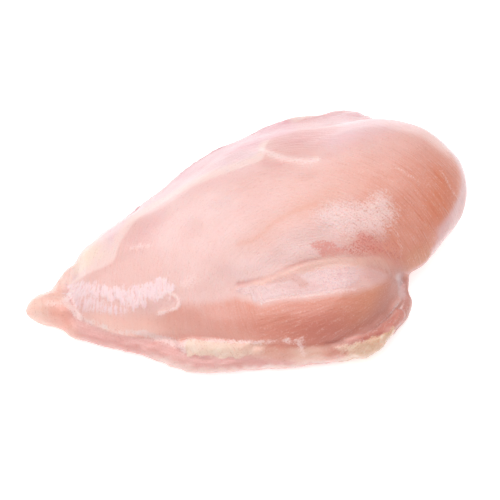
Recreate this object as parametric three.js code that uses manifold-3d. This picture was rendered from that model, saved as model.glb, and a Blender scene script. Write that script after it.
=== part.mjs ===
// A raw chicken breast, boned and skinned: one half of the bird's breast muscle.
// Millimetres, +Z up. X runs along the muscle, from the pointed tip at -X to the thick
// shoulder end at +X. The front lobe and its roll of fat are on the -Y side.
// The meat is one solid, described as a distance field: negative inside, positive outside.

import * as THREE from 'three';
import Module from 'manifold-3d';

// Plan outline of the lower layer, the flap that lies on the table.
// It starts at the tip and runs along the far edge, the shoulder, the notch and the near edge.
const OUTLINE = [
  [-76.5, 16.5], [-70.5, 23], [-59, 27.8], [-43.5, 34.6], [-27.5, 39.6], [-4, 49], [19, 53.4],
  [41, 55.4], [57, 53.8], [69.5, 49.6], [76.3, 41], [79, 30], [81, 15], [80, -4], [71.5, -18.5],
  [59.5, -31.5], [53.5, -40.7], [47.8, -47.2], [38, -53.6], [26, -56.8], [3.5, -51.2], [-18, -44],
  [-35, -37.8], [-44, -30.6], [-54, -20.2], [-64, -11.4], [-76, -0.6],
];
const OUTLINE_STEPS = 8;          // straight steps between two outline points

// Half the thickness of the lower layer, as [x, value] stops.
const FLAP_HALF_THICKNESS = [[-88, 3.9], [18, 4.6], [83, 6]];
const FLAP_ROUNDING = 0.95;       // edge radius as a share of the half thickness

// The upper layer follows the same outline, further in, and swells to its height.
const UPPER_HEIGHT = [[-84, 10], [-14, 17.5], [28, 17], [68, 8]];
const UPPER_EDGE_RADIUS = 13;
const NEAR_LEDGE = [[-80, 5], [-56, 9.5]];  // width of the flap along the near edge, as [x, value]
const FAR_LEDGE = 10;             // width of the thin margin along the far edge
const LEDGE_CHANGE = [5, 30];     // y range over which the one becomes the other

// Swollen parts of the muscle: centre, radii and, where it is turned, the yaw in degrees.
const SHOULDER = { centre: [60.3, 2, 19.9], radii: [34.7, 30.8, 20.4], yaw: -4 };
const SHOULDER_BELLY = { centre: [56, -6, 15.7], radii: [27.8, 28.5, 15.5], yaw: -4 };
const CROWN = { centre: [23.5, 6.5, 11.5], radii: [51, 38, 26], yaw: -3 };
const TAPER = { centre: [-22, 5, 7.4], radii: [46, 27.5, 17.8], yaw: -3 };
const FRONT_LOBE = { centre: [20, -31.6, 3.2], radii: [33, 21, 23], yaw: -4 };
const TIP = { centre: [-78, 11.3, 5.1], radii: [10.6, 7.6, 6.6], yaw: -26 };

// The roll of fat under the front lobe: centre line points with the radius as fourth value.
const FAT_ROLL = [
  [-38, -25.8, 8.4, 1.8], [-30.5, -30.6, 8.8, 3.2], [-18, -36.9, 8.8, 3], [-7.7, -41.8, 8.8, 3],
  [2.5, -47, 8.8, 2.8], [13, -51.3, 8.8, 3.2], [24, -54.2, 8.9, 3.8], [34, -54.2, 9, 3.8],
  [41, -51.3, 9.8, 3], [44, -48.6, 10.2, 2.2],
];
const FAT_STEPS = 5;              // straight steps between two points of the roll
const FAT_LUMP_HEIGHT = 0.6;
const FAT_LUMP_PITCH = 11;

// Widths over which neighbouring forms melt into each other: small is a crease.
const BLEND_BELLY = 8;
const BLEND_CROWN = 13;
const BLEND_TAPER = 11;
const BLEND_UPPER = 8;            // between the swollen parts and the upper layer
const BLEND_UPPER_FAR = 12;       // added to it along the far edge
const BLEND_LOBE = [[-30, 22], [26, 3.5]];  // as [x, value] stops
const BLEND_TIP = 5;
const BLEND_FAT = 2.4;
const CREASE = 1.5;               // between upper layer and flap along the near edge
const FAR_SLOPE = 14;             // added to it along the far edge
const FAR_SLOPE_Y = [0, 28];
const FAR_SLOPE_X = [-78, -55];

// The underside, where the meat rests: rounded below, then cut flat at z = 0.
const UNDERSIDE_DEPTH = 0.5;
const UNDERSIDE_ROUNDING = 4;

// Size of the cells that the surface is made from, and the block they fill.
const CELL = 2.55;
const CLEAR_OF_TABLE = 0.35;      // no vertex lies nearer than this to the cut at z = 0
const TABLE_THICKNESS = 40;       // of the block that makes the cut
const RELAX_ROUNDS = 3;
const SLOPE_STEP = 0.05;          // over which the field's slope is measured
const LEAST_SLOPE = 0.3;          // keeps a vertex in a crease from being thrown far
const BLOCK = { low: [-94, -64, -4], high: [101, 65, 46] };

function smoothstep(start, end, value) {
  const t = Math.min(1, Math.max(0, (value - start) / (end - start)));
  return t * t * (3 - 2 * t);
}

function alongStops(stops, x) {
  let value = stops[0][1];
  for (let i = 1; i < stops.length; i++) {
    value += (stops[i][1] - stops[i - 1][1]) * smoothstep(stops[i - 1][0], stops[i][0], x);
  }
  return value;
}

// Union of two fields with a rounded inner corner of the given width.
function melt(a, b, width) {
  const h = Math.min(1, Math.max(0, 0.5 + 0.5 * (b - a) / width));
  return b + (a - b) * h - width * h * (1 - h);
}

function ellipsoid({ centre, radii, yaw = 0 }, x, y, z) {
  const angle = THREE.MathUtils.degToRad(yaw);
  const dx = x - centre[0];
  const dy = y - centre[1];
  const u = dx * Math.cos(angle) + dy * Math.sin(angle);
  const v = -dx * Math.sin(angle) + dy * Math.cos(angle);
  const w = z - centre[2];
  const near = Math.hypot(u / radii[0], v / radii[1], w / radii[2]) + 1e-9;
  const slope = Math.hypot(u / radii[0] ** 2, v / radii[1] ** 2, w / radii[2] ** 2) + 1e-9;
  return near * (near - 1) / slope;
}

// A layer with a rounded edge: across is the distance outside its outline.
function roundedLayer(across, up, halfThickness, radius) {
  const qx = across + radius;
  const qz = Math.abs(up) - (halfThickness - radius);
  const outside = Math.hypot(Math.max(qx, 0), Math.max(qz, 0));
  return Math.min(Math.max(qx, qz), 0) + outside - radius;
}

function closedCurve(points, steps) {
  const curve = new THREE.CatmullRomCurve3(
    points.map(([x, y]) => new THREE.Vector3(x, y, 0)), true, 'catmullrom', 0.5);
  const at = [];
  for (let i = 0; i < points.length * steps; i++) {
    at.push(curve.getPoint(i / (points.length * steps)));
  }
  return at;
}

const outlinePoints = closedCurve(OUTLINE, OUTLINE_STEPS);

// Distance from the plan outline, negative inside it.
function outlineDistance(x, y) {
  let best = Infinity;
  let inside = false;
  for (let i = 0; i < outlinePoints.length; i++) {
    const a = outlinePoints[i];
    const b = outlinePoints[(i + 1) % outlinePoints.length];
    const dx = b.x - a.x;
    const dy = b.y - a.y;
    const t = THREE.MathUtils.clamp(((x - a.x) * dx + (y - a.y) * dy) / (dx * dx + dy * dy), 0, 1);
    best = Math.min(best, Math.hypot(x - a.x - t * dx, y - a.y - t * dy));
    if ((a.y > y) !== (b.y > y) && x < a.x + (y - a.y) / dy * dx) inside = !inside;
  }
  return inside ? -best : best;
}

// The fat roll's stretches, with lumps in its radius.
function fatStretches() {
  const centres = new THREE.CatmullRomCurve3(
    FAT_ROLL.map(([x, y, z]) => new THREE.Vector3(x, y, z)), false, 'catmullrom', 0.5);
  const count = (FAT_ROLL.length - 1) * FAT_STEPS;
  const beads = [];
  for (let i = 0; i <= count; i++) {
    const place = i / FAT_STEPS;
    const first = Math.min(Math.floor(place), FAT_ROLL.length - 2);
    const radius = THREE.MathUtils.lerp(FAT_ROLL[first][3], FAT_ROLL[first + 1][3], place - first);
    const centre = centres.getPoint(i / count);
    const lump = FAT_LUMP_HEIGHT * Math.sin(2 * Math.PI * centre.x / FAT_LUMP_PITCH);
    beads.push({ centre, radius: radius + lump });
  }
  return beads;
}

const fatBeads = fatStretches();

function fatRoll(x, y, z) {
  let best = Infinity;
  for (let i = 1; i < fatBeads.length; i++) {
    const a = fatBeads[i - 1].centre;
    const b = fatBeads[i].centre;
    const dx = b.x - a.x;
    const dy = b.y - a.y;
    const dz = b.z - a.z;
    const along = ((x - a.x) * dx + (y - a.y) * dy + (z - a.z) * dz) / (dx * dx + dy * dy + dz * dz);
    const t = THREE.MathUtils.clamp(along, 0, 1);
    const radius = THREE.MathUtils.lerp(fatBeads[i - 1].radius, fatBeads[i].radius, t);
    best = Math.min(best, Math.hypot(x - a.x - t * dx, y - a.y - t * dy, z - a.z - t * dz) - radius);
  }
  return best;
}

// The whole breast. edge is the distance from the plan outline at this x and y.
function breastField(x, y, z, edge) {
  let dome = ellipsoid(SHOULDER, x, y, z);
  dome = melt(dome, ellipsoid(SHOULDER_BELLY, x, y, z), BLEND_BELLY);
  dome = melt(dome, ellipsoid(CROWN, x, y, z), BLEND_CROWN);
  dome = melt(dome, ellipsoid(TAPER, x, y, z), BLEND_TAPER);

  const nearLedge = alongStops(NEAR_LEDGE, x);
  const ledge = nearLedge + (FAR_LEDGE - nearLedge) * smoothstep(...LEDGE_CHANGE, y);
  const height = alongStops(UPPER_HEIGHT, x);
  const radius = Math.min(UPPER_EDGE_RADIUS, height);
  const far = smoothstep(...FAR_SLOPE_Y, y) * smoothstep(...FAR_SLOPE_X, x);
  const layer = roundedLayer(edge + ledge, z, height, radius);
  let upper = melt(layer, dome, BLEND_UPPER + BLEND_UPPER_FAR * far);
  upper = melt(upper, ellipsoid(FRONT_LOBE, x, y, z), alongStops(BLEND_LOBE, x));

  const half = alongStops(FLAP_HALF_THICKNESS, x);
  const flap = roundedLayer(edge, z - half, half, half * FLAP_ROUNDING);
  const lower = melt(flap, ellipsoid(TIP, x, y, z), BLEND_TIP);

  const meat = melt(upper, lower, CREASE + FAR_SLOPE * far);
  const whole = melt(meat, fatRoll(x, y, z), BLEND_FAT);
  return -melt(-whole, z + UNDERSIDE_DEPTH, UNDERSIDE_ROUNDING);
}

// Samples the field at the corners of the block's cells.
function sampleBlock() {
  const counts = BLOCK.low.map((low, axis) => Math.ceil((BLOCK.high[axis] - low) / CELL) + 1);
  const [nx, ny, nz] = counts;
  const values = new Float64Array(nx * ny * nz);
  for (let i = 0; i < nx; i++) {
    for (let j = 0; j < ny; j++) {
      const x = BLOCK.low[0] + i * CELL;
      const y = BLOCK.low[1] + j * CELL;
      const edge = outlineDistance(x, y);
      for (let k = 0; k < nz; k++) {
        values[(i * ny + j) * nz + k] = breastField(x, y, BLOCK.low[2] + k * CELL, edge);
      }
    }
  }
  return { counts, values };
}

// Closed surface of the field: one vertex in each cell that the surface passes through, at the
// mean of the points where it cuts the cell's edges, and one quad round each cut edge.
function surfaceOf({ counts, values }) {
  const [nx, ny, nz] = counts;
  const stride = [ny * nz, nz, 1];
  const corners = [];
  for (let c = 0; c < 8; c++) corners.push([c & 1, (c >> 1) & 1, (c >> 2) & 1]);
  const edges = [];
  for (let c = 0; c < 8; c++) {
    for (let axis = 0; axis < 3; axis++) {
      if (!corners[c][axis]) edges.push([c, c | (1 << axis), axis]);
    }
  }
  const offset = corners.map((corner) => corner.reduce((sum, bit, axis) => sum + bit * stride[axis], 0));
  const vertexOf = new Int32Array(values.length).fill(-1);
  const positions = [];
  for (let i = 0; i < nx - 1; i++) {
    for (let j = 0; j < ny - 1; j++) {
      for (let k = 0; k < nz - 1; k++) {
        const cell = (i * ny + j) * nz + k;
        const sum = [0, 0, 0];
        let cuts = 0;
        for (const [from, to, axis] of edges) {
          const a = values[cell + offset[from]];
          const b = values[cell + offset[to]];
          if ((a < 0) === (b < 0)) continue;
          const t = a / (a - b);
          for (let d = 0; d < 3; d++) sum[d] += corners[from][d] + (d === axis ? t : 0);
          cuts += 1;
        }
        if (!cuts) continue;
        vertexOf[cell] = positions.length / 3;
        [i, j, k].forEach((n, d) => positions.push(BLOCK.low[d] + CELL * (n + sum[d] / cuts)));
      }
    }
  }
  const quads = [];
  for (let i = 1; i < nx - 1; i++) {
    for (let j = 1; j < ny - 1; j++) {
      for (let k = 1; k < nz - 1; k++) {
        const corner = (i * ny + j) * nz + k;
        for (let axis = 0; axis < 3; axis++) {
          const here = values[corner] < 0;
          if (here === (values[corner + stride[axis]] < 0)) continue;
          const u = stride[(axis + 1) % 3];
          const v = stride[(axis + 2) % 3];
          const quad = [corner, corner - u, corner - u - v, corner - v].map((cell) => vertexOf[cell]);
          if (!here) quad.reverse();
          quads.push(quad);
        }
      }
    }
  }
  return { positions, quads };
}

// Evens the surface out: each vertex goes to the mean of its neighbours, then back onto the field's
// surface along the field's slope.
function relax(positions, quads) {
  const count = positions.length / 3;
  for (let round = 0; round < RELAX_ROUNDS; round++) {
    const sums = new Float64Array(positions.length);
    const shares = new Float64Array(count);
    for (const quad of quads) {
      quad.forEach((vertex, corner) => {
        const next = quad[(corner + 1) % 4];
        for (let d = 0; d < 3; d++) sums[3 * vertex + d] += positions[3 * next + d];
        shares[vertex] += 1;
      });
    }
    for (let n = 0; n < count; n++) {
      const mean = [0, 1, 2].map((d) => sums[3 * n + d] / shares[n]);
      settle(mean).forEach((value, d) => { positions[3 * n + d] = value; });
    }
  }
}

// Moves a point along the field's slope until the field is zero there.
function settle(point) {
  const at = ([x, y, z]) => breastField(x, y, z, outlineDistance(x, y));
  const here = at(point);
  const slope = [0, 1, 2].map((axis) => {
    const beside = point.map((value, d) => value + (d === axis ? SLOPE_STEP : 0));
    return (at(beside) - here) / SLOPE_STEP;
  });
  const steepness = Math.max(slope.reduce((sum, part) => sum + part * part, 0), LEAST_SLOPE);
  return point.map((value, d) => value - here * slope[d] / steepness);
}

// Splits a quad along its shorter diagonal.
function shorterSplit([a, b, c, d], positions) {
  const apart = (p, q) => Math.hypot(...[0, 1, 2].map((axis) => positions[3 * p + axis] - positions[3 * q + axis]));
  return apart(a, c) < apart(b, d) ? [a, b, c, a, c, d] : [a, b, d, b, c, d];
}

const wasm = await Module();
wasm.setup();

function solid(positions, triangles) {
  return new wasm.Manifold(new wasm.Mesh({
    numProp: 3,
    vertProperties: Float32Array.from(positions),
    triVerts: Uint32Array.from(triangles),
  }));
}

// A block under the table top, which cuts the underside flat.
function tableBlock() {
  const [lowX, lowY] = BLOCK.low;
  const [highX, highY] = BLOCK.high;
  const box = new THREE.BoxGeometry(highX - lowX, highY - lowY, TABLE_THICKNESS, 1, 1, 1);
  box.translate((highX + lowX) / 2, (highY + lowY) / 2, -TABLE_THICKNESS / 2);
  const place = box.getAttribute('position');
  const found = new Map();
  const positions = [];
  const merged = [];
  for (let i = 0; i < place.count; i++) {
    const point = [place.getX(i), place.getY(i), place.getZ(i)];
    const key = point.join();
    if (!found.has(key)) {
      found.set(key, positions.length / 3);
      positions.push(...point);
    }
    merged.push(found.get(key));
  }
  return solid(positions, Array.from(box.index.array, (index) => merged[index]));
}

function breastGeometry() {
  const { positions, quads } = surfaceOf(sampleBlock());
  relax(positions, quads);
  for (let n = 2; n < positions.length; n += 3) {
    if (Math.abs(positions[n]) < CLEAR_OF_TABLE) positions[n] = -CLEAR_OF_TABLE;
  }
  const triangles = quads.flatMap((quad) => shorterSplit(quad, positions));
  const mesh = solid(positions, triangles).subtract(tableBlock()).getMesh();
  const geometry = new THREE.BufferGeometry();
  geometry.setAttribute('position', new THREE.BufferAttribute(mesh.vertProperties, 3));
  geometry.setIndex(new THREE.BufferAttribute(mesh.triVerts, 1));
  geometry.computeBoundingBox();
  const { min, max } = geometry.boundingBox;
  geometry.translate(-(min.x + max.x) / 2, -(min.y + max.y) / 2, -min.z);
  geometry.computeVertexNormals();
  return geometry;
}

const rawMeat = new THREE.MeshStandardMaterial({ color: 0xf0bcae, roughness: 0.35, metalness: 0 });

const part = new THREE.Group();
const breast = new THREE.Mesh(breastGeometry(), rawMeat);
breast.name = 'breast';
part.add(breast);

export default part;
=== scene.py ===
# %% [markdown]
# # A raw chicken breast
#
# The photo shows one boned and skinned half breast: a pale pink, wet muscle with a thick round
# shoulder at the right, a pointed tip at the left, a lobe and a roll of fat along the front and
# a thin flap under it all. Nothing on it is a separate part, so the whole thing is one closed
# mesh. Its body comes from a distance field, its small folds from a relief on that body, and
# its finish from one wet, slightly translucent material.

# %% Load the shared frame
import math

import bpy
import numpy as np
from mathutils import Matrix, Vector


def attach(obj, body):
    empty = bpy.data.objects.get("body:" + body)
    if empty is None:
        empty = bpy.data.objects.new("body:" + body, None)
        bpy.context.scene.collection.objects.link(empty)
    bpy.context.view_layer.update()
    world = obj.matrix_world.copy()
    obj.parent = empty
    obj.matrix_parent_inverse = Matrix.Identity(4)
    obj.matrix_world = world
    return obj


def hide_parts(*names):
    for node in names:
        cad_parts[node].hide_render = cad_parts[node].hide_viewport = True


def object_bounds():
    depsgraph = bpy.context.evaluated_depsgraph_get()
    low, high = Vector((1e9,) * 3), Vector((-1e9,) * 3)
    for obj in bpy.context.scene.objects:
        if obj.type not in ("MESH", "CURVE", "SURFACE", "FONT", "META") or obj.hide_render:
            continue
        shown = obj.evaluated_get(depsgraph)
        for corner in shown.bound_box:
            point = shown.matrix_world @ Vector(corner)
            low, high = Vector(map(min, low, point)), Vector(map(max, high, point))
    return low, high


# Millimetres in a metre
MM = 1000

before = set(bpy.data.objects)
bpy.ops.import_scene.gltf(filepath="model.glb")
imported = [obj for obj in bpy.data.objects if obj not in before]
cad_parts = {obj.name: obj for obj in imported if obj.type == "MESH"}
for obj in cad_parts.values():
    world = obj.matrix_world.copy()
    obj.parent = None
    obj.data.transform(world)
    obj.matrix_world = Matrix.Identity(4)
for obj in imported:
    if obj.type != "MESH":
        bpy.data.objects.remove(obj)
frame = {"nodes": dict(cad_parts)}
cad_low, cad_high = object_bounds()
print("CAD nodes:", ", ".join(frame["nodes"]))
print("CAD box in mm:", [round(MM * side, 1) for side in cad_high - cad_low])

# %% [markdown]
# ## The body of the muscle
#
# Real meat has no straight edges to model from: it is a few swollen muscles under one skin.
# Subdivision modelling would work, but each swelling would need its own loop of edges. A
# distance field is easier to steer. Every swelling is an ellipsoid with a position and three
# radii, the flap is a slab with a drawn outline, and a smooth minimum melts them together. A
# large melting width gives a soft rise and a small one gives a crease.
# These are the same sizes, in millimetres, that the CAD model was made from.

# %% Sizes of the body
# The outline of the flap in plan, from the tip round the far side
OUTLINE = [
    (-76.5, 16.5), (-70.5, 23), (-59, 27.8), (-43.5, 34.6), (-27.5, 39.6), (-4, 49), (19, 53.4),
    (41, 55.4), (57, 53.8), (69.5, 49.6), (76.3, 41), (79, 30), (81, 15), (80, -4), (71.5, -18.5),
    (59.5, -31.5), (53.5, -40.7), (47.8, -47.2), (38, -53.6), (26, -56.8), (3.5, -51.2),
    (-18, -44), (-35, -37.8), (-44, -30.6), (-54, -20.2), (-64, -11.4), (-76, -0.6),
]
# The swellings: centre, three radii and turn in degrees of each
SHOULDER = ((60.3, 2, 19.9), (34.7, 30.8, 20.4), -4)
SHOULDER_BELLY = ((56, -6, 15.7), (27.8, 28.5, 15.5), -4)
CROWN = ((23.5, 6.5, 11.5), (51, 38, 26), -3)
TAPER = ((-22, 5, 7.4), (46, 27.5, 17.8), -3)
FRONT_LOBE = ((20, -31.6, 3.2), (33, 21, 23), -4)
TIP = ((-78, 11.3, 5.1), (10.6, 7.6, 6.6), -26)
# The roll of fat under the front lobe: x, y, z and radius of each bead
FAT_ROLL = [
    (-38, -25.8, 8.4, 1.8), (-30.5, -30.6, 8.8, 3.2), (-18, -36.9, 8.8, 3), (-7.7, -41.8, 8.8, 3),
    (2.5, -47, 8.8, 2.8), (13, -51.3, 8.8, 3.2), (24, -54.2, 8.9, 3.8), (34, -54.2, 9, 3.8),
    (41, -51.3, 9.8, 3), (44, -48.6, 10.2, 2.2),
]
print("outline of", len(OUTLINE), "points, roll of fat of", len(FAT_ROLL), "beads")

# %% Helpers for soft changes
def ease(start, end, value):
    """0 at start, 1 at end and a soft slope between them. Start may be the larger one."""
    t = np.clip((value - start) / (end - start), 0, 1)
    return t * t * (3 - 2 * t)


def along_stops(stops, x):
    """A value that eases from one stop (x, value) to the next."""
    value = np.full(x.shape, float(stops[0][1]))
    for (x0, v0), (x1, v1) in zip(stops[:-1], stops[1:]):
        value += (v1 - v0) * ease(x0, x1, x)
    return value


def melt(a, b, width):
    """The smaller of two distances, with the corner between them melted over a width."""
    h = np.clip(0.5 + 0.5 * (b - a) / width, 0, 1)
    return b + (a - b) * h - width * h * (1 - h)


# %% Helpers for rounded forms
def ellipsoid(form, x, y, z):
    """Distance from a turned ellipsoid, nearly exact close to it and negative inside."""
    centre, radii, yaw = form
    cos, sin = math.cos(math.radians(yaw)), math.sin(math.radians(yaw))
    u = ((x - centre[0]) * cos + (y - centre[1]) * sin) / radii[0]
    v = ((y - centre[1]) * cos - (x - centre[0]) * sin) / radii[1]
    w = (z - centre[2]) / radii[2]
    near = np.sqrt(u ** 2 + v ** 2 + w ** 2) + 1e-9
    slope = np.sqrt((u / radii[0]) ** 2 + (v / radii[1]) ** 2 + (w / radii[2]) ** 2) + 1e-9
    return near * (near - 1) / slope


def rounded_layer(across, up, half, radius):
    """Distance from a flat layer of a half thickness, with its edges rounded by a radius."""
    qx = across + radius
    qz = np.abs(up) - (half - radius)
    outside = np.hypot(np.maximum(qx, 0), np.maximum(qz, 0))
    return np.minimum(np.maximum(qx, qz), 0) + outside - radius


# %% [markdown]
# ## Distances from drawn lines
#
# The flap's outline, and later the folds, the fat and the films, follow points that are listed
# in millimetres. A smooth curve runs through them, and the distance from it says how near
# the fold or the edge is. Curve objects would do too, but these distances are needed anyway.

# %% Helpers for drawn lines
def curve(points, steps, closed):
    """A smooth curve through all the points, with so many steps from one to the next."""
    p = np.array(points, float)
    ends = (p[-1:], p[:2]) if closed else (2 * p[:1] - p[1:2], 2 * p[-1:] - p[-2:-1])
    p = np.concatenate([ends[0], p, ends[1]])
    t = np.arange(steps)[:, None] / steps
    made = []
    for a, b, c, d in zip(p[:-3], p[1:-2], p[2:-1], p[3:]):
        made.append(0.5 * (2 * b + (c - a) * t + (2 * a - 5 * b + 4 * c - d) * t ** 2
                           + (3 * b - a - 3 * c + d) * t ** 3))
    if not closed:
        made.append(p[-2:-1])
    return np.concatenate(made)


def line_distance(points, line):
    """Distance of each point from a line of straight pieces, in plan if the line has no z."""
    best = np.full(len(points), 1e9)
    size = line.shape[1]
    for a, b in zip(line[:-1], line[1:]):
        along = b - a
        t = np.clip((points[:, :size] - a) @ along / (along @ along), 0, 1)
        gap = points[:, :size] - a - t[:, None] * along
        best = np.minimum(best, np.einsum("ij,ij->i", gap, gap))
    return np.sqrt(best)


def area_distance(points, corners):
    """Distance from a closed outline in plan, negative inside it."""
    x, y = points[:, 0], points[:, 1]
    inside = np.zeros(len(points), bool)
    for (ax, ay), (bx, by) in zip(corners, np.roll(corners, -1, axis=0)):
        if ay != by:
            inside ^= ((ay > y) != (by > y)) & (x < ax + (y - ay) / (by - ay) * (bx - ax))
    loop = np.concatenate([corners, corners[:1]])
    away = line_distance(points[:, :2], loop)
    return np.where(inside, -away, away)


# %% Distance from the flap's outline, kept in a table
# The field asks for it at millions of places, so it is worked out once on a grid.
TABLE_STEP = 0.5
TABLE_LOW = np.array([-96.0, -66.0])
TABLE_COUNT = (404, 268)
OUTLINE_STEPS = 8
table_x = TABLE_LOW[0] + TABLE_STEP * np.arange(TABLE_COUNT[0])
table_y = TABLE_LOW[1] + TABLE_STEP * np.arange(TABLE_COUNT[1])
table_points = np.stack(np.meshgrid(table_x, table_y, indexing="ij"), -1).reshape(-1, 2)
outline_curve = curve(OUTLINE, OUTLINE_STEPS, True)
outline_table = area_distance(table_points, outline_curve).reshape(TABLE_COUNT)


def outline_distance(x, y):
    """Distance from the outline in plan, between the four nearest entries of the table."""
    i = np.clip((x - TABLE_LOW[0]) / TABLE_STEP, 0, TABLE_COUNT[0] - 1.001)
    j = np.clip((y - TABLE_LOW[1]) / TABLE_STEP, 0, TABLE_COUNT[1] - 1.001)
    i0, j0 = i.astype(int), j.astype(int)
    a, b = i - i0, j - j0
    near = outline_table[i0, j0] * (1 - b) + outline_table[i0, j0 + 1] * b
    far = outline_table[i0 + 1, j0] * (1 - b) + outline_table[i0 + 1, j0 + 1] * b
    return near * (1 - a) + far * a


print("widest place inside the outline in mm:", round(-2 * outline_table.min()))

# %% [markdown]
# ## The layers of the muscle
#
# A dome of four swellings stands on a ledge, a lobe runs along its front, and a thin flap lies
# under both. The finish asks for these layers too, so one function gives them. At the front the
# flap meets the rest in a crease, and on the far side all melt into one flank. The fat is a
# chain of beads. The last melt cuts the underside flat, where the meat lies on the table.

# %% The roll of fat
BEAD_STEPS = 5
fat_beads = curve(FAT_ROLL, BEAD_STEPS, False)


def fat_field(x, y, z):
    """Distance from the roll of fat, a chain of beads whose radius changes on the way."""
    best = np.full(x.shape, 1e9)
    for a, b in zip(fat_beads[:-1], fat_beads[1:]):
        d = b[:3] - a[:3]
        t = np.clip(((x - a[0]) * d[0] + (y - a[1]) * d[1] + (z - a[2]) * d[2]) / (d @ d), 0, 1)
        gap = (x - a[0] - t * d[0]) ** 2 + (y - a[1] - t * d[1]) ** 2 + (z - a[2] - t * d[2]) ** 2
        best = np.minimum(best, np.sqrt(gap) - a[3] - t * (b[3] - a[3]))
    return best


print("the roll of fat has", len(fat_beads) - 1, "short pieces")

# %% The field of the whole breast
# Widths in mm over which two forms melt into each other
BELLY_MELT = 8
CROWN_MELT = 13
TAPER_MELT = 11
TIP_MELT = 5
FAT_MELT = 2.4
FLAP_CREASE = 1.5
FAR_MELT = 14
TABLE_MELT = 4
# How far the meat would reach below the table, if it weren't cut flat there
PRESSED_IN = 0.5
LEDGE_RADIUS = 13


def layers(x, y, z):
    """Fields of the dome on its ledge, the front lobe, both and the flap, and 1 on the far side."""
    edge = outline_distance(x, y)
    dome = melt(ellipsoid(SHOULDER, x, y, z), ellipsoid(SHOULDER_BELLY, x, y, z), BELLY_MELT)
    dome = melt(dome, ellipsoid(CROWN, x, y, z), CROWN_MELT)
    dome = melt(dome, ellipsoid(TAPER, x, y, z), TAPER_MELT)
    near_ledge = along_stops([(-80, 5), (-56, 9.5)], x)
    ledge = near_ledge + (10 - near_ledge) * ease(5, 30, y)
    height = along_stops([(-84, 10), (-14, 17.5), (28, 17), (68, 8)], x)
    far = ease(0, 28, y) * ease(-78, -55, x)
    layer = rounded_layer(edge + ledge, z, height, np.minimum(LEDGE_RADIUS, height))
    upper = melt(layer, dome, 8 + 12 * far)
    lobe = ellipsoid(FRONT_LOBE, x, y, z)
    both = melt(upper, lobe, along_stops([(-30, 22), (26, 3.5)], x))
    half = along_stops([(-88, 3.9), (18, 4.6), (83, 6)], x)
    slab = rounded_layer(edge, z - half, half, 0.95 * half)
    flap = melt(slab, ellipsoid(TIP, x, y, z), TIP_MELT)
    return upper, lobe, both, flap, far


def breast_field(x, y, z):
    """Distance from the surface of the breast, negative in the meat."""
    upper, lobe, both, flap, far = layers(x, y, z)
    meat = melt(both, flap, FLAP_CREASE + FAR_MELT * far)
    whole = melt(meat, fat_field(x, y, z), FAT_MELT)
    return -melt(-whole, z + PRESSED_IN, TABLE_MELT)


middle_of_dome = np.array([20.0]), np.array([5.0]), np.array([20.0])
print("depth of the middle of the dome in mm:", np.round(-breast_field(*middle_of_dome), 1))

# %% [markdown]
# ## From the field to a mesh
#
# A block of small cells is laid over the field. Each cell that the surface passes through gets
# one vertex, and each cell edge that it cuts gets one face between the four cells round it.
# This gives a closed mesh of quads of one size, which suits a form without corners. The
# vertices are then evened out and put back on the surface.

# %% Sampling the field
# Edge of a cell in mm, and the block of space that is looked at
CELL = 0.76
BLOCK_LOW = np.array([-93.0, -63.0, -3.0])
BLOCK_HIGH = np.array([99.0, 62.0, 44.0])
# Every fourth corner is tried first, and what is within BAND mm of the surface is done in full.
COARSE = 4
BAND = 7.0


def sample_block():
    """The field at every corner of every cell, exact near the surface."""
    counts = np.ceil((BLOCK_HIGH - BLOCK_LOW) / CELL / COARSE).astype(int) * COARSE
    axes = [BLOCK_LOW[d] + CELL * np.arange(counts[d]) for d in range(3)]
    x, y, z = np.meshgrid(*axes, indexing="ij")
    skip = (slice(None, None, COARSE),) * 3
    values = breast_field(x[skip], y[skip], z[skip])
    for d in range(3):
        values = np.repeat(values, COARSE, axis=d)
    band = np.abs(values) < BAND
    values[band] = breast_field(x[band], y[band], z[band])
    return values


values = sample_block()
print("corners:", values.size, "of which in the meat:", int((values < 0).sum()))

# %% A skin between the cells
def skin(values):
    """Vertices and quads of the surface between the corners inside and outside."""
    strides = np.array([values.shape[1] * values.shape[2], values.shape[2], 1])
    flat = values.ravel()
    rings, cuts = [], []
    for axis in range(3):
        low = [slice(1, -1)] * 3
        ahead = list(low)
        ahead[axis] = slice(2, None)
        changed = (values[tuple(low)] < 0) != (values[tuple(ahead)] < 0)
        where = np.argwhere(changed) + 1
        corner = where @ strides
        start, end = flat[corner], flat[corner + strides[axis]]
        cut = where.astype(float)
        cut[:, axis] += start / (start - end)
        u, v = strides[(axis + 1) % 3], strides[(axis + 2) % 3]
        ring = np.stack([corner, corner - u, corner - u - v, corner - v], 1)
        ring[start >= 0] = ring[start >= 0][:, ::-1]
        rings.append(ring)
        cuts.append(np.repeat(cut, 4, axis=0))
    rings, cuts = np.concatenate(rings), np.concatenate(cuts)
    vertex = np.unique(rings.ravel(), return_inverse=True)[1].ravel()
    share = np.bincount(vertex)
    middle = np.stack([np.bincount(vertex, cuts[:, d]) / share for d in range(3)], 1)
    return BLOCK_LOW + CELL * middle, vertex.reshape(-1, 4)


points, quads = skin(values)
print(len(points), "points and", len(quads), "quads")

# %% Evening out
NUDGE = 0.05
LEAST_SLOPE = 0.3
ROUNDS = 2


def slope_of(points):
    """Value and gradient of the field at each point."""
    here = breast_field(*points.T)
    gradient = np.empty_like(points)
    for d in range(3):
        beside = points.copy()
        beside[:, d] += NUDGE
        gradient[:, d] = (breast_field(*beside.T) - here) / NUDGE
    return here, gradient


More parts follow.
